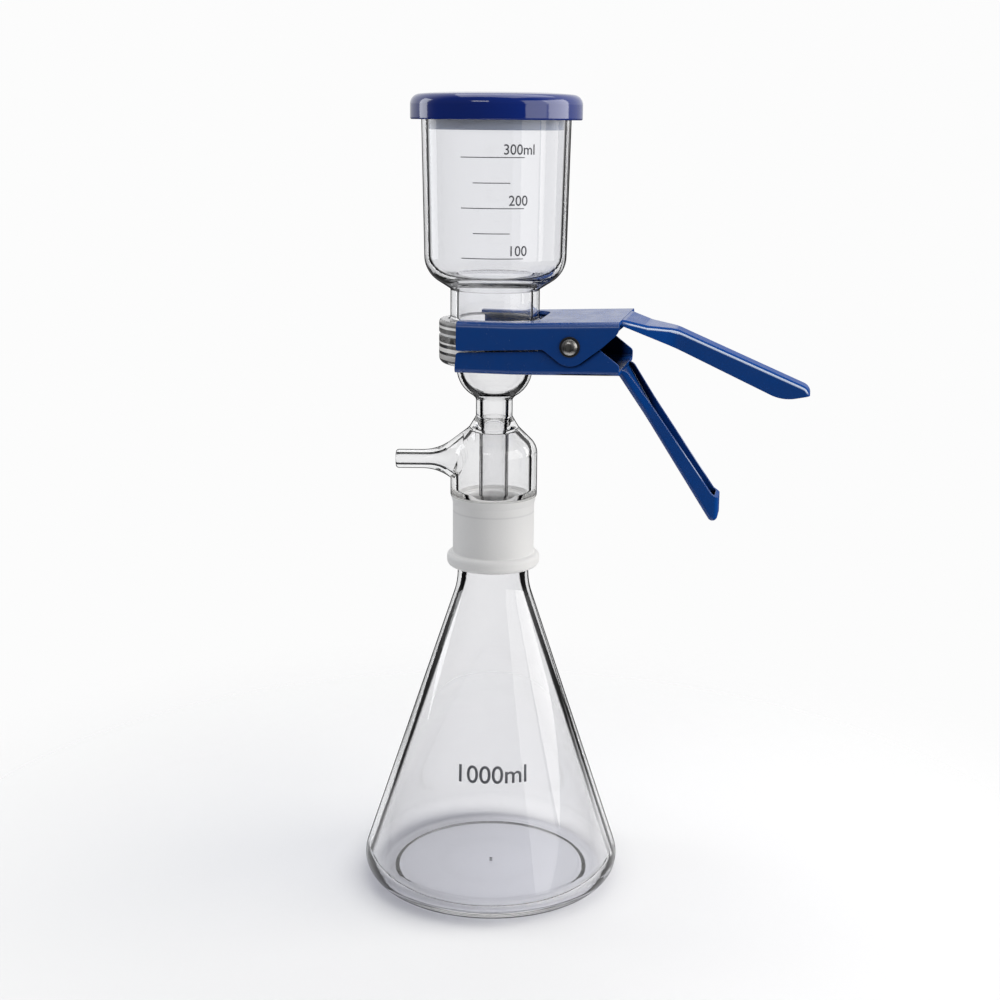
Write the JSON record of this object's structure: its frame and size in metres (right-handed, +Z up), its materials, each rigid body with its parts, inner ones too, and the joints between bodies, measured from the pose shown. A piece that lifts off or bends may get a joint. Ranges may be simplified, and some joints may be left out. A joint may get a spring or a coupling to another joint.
{
  "type": "vacuum filtration unit",
  "caption": "Glass filtration unit: a lidded funnel cup clamped to a filter head with a side arm, on a conical flask.",
  "frame": {"origin": "middle of the flask's base, on the bench it stands on", "axes": "+Z up the glass axis, +X along the clamp's handles, the clamp's hinge along Y; the side arm points 11 degrees round from -X towards -Y"},
  "size_m": [0.2249, 0.135, 0.4092],
  "materials": {
    "flask_glass": "clear borosilicate",
    "head_glass": "clear borosilicate, joint ground",
    "cup_glass": "clear borosilicate",
    "sintered_glass": "sintered white",
    "membrane": "matte",
    "gasket": "matte white",
    "lid_plastic": "gloss dark blue",
    "clamp_paint": "satin dark blue",
    "pin_steel": "brushed",
    "washer_black": "matte black",
    "sleeve_steel": "plain tube",
    "spring_steel": "drawn wire"
  },
  "bodies": {
    "flask_body": {"flask": "flask_glass"},
    "head_body": {"filter_head": "head_glass", "sintered_disc": "sintered_glass", "membrane_filter": "membrane", "flange_gasket": "gasket", "funnel_cup": "cup_glass", "upper_jaw": "clamp_paint", "pivot_pin": "pin_steel", "front_washer": "washer_black", "rear_washer": "washer_black", "retaining_clip": "pin_steel", "spring_sleeve": "sleeve_steel", "torsion_spring": "spring_steel"},
    "lower_jaw_body": {"lower_jaw": "clamp_paint"},
    "lid_body": {"lid": "lid_plastic"}
  },
  "joints": [
    {"name": "head_lift", "type": "slide", "parent": "flask_body", "child": "head_body", "axis": [0, 0, 1], "range_m": [0, 0.06]},
    {"name": "clamp_hinge", "type": "hinge", "parent": "head_body", "child": "lower_jaw_body", "pos_m": [0.043, 0, 0.2904], "axis": [0, -1, 0], "range_deg": [0, 20], "stiffness_Nm_per_rad": 1.2, "springref_deg": -28.65, "deforming": ["torsion_spring"]},
    {"name": "lid_lift", "type": "slide", "parent": "head_body", "child": "lid_body", "axis": [0, 0, 1], "range_m": [0, 0.03]}
  ]
}
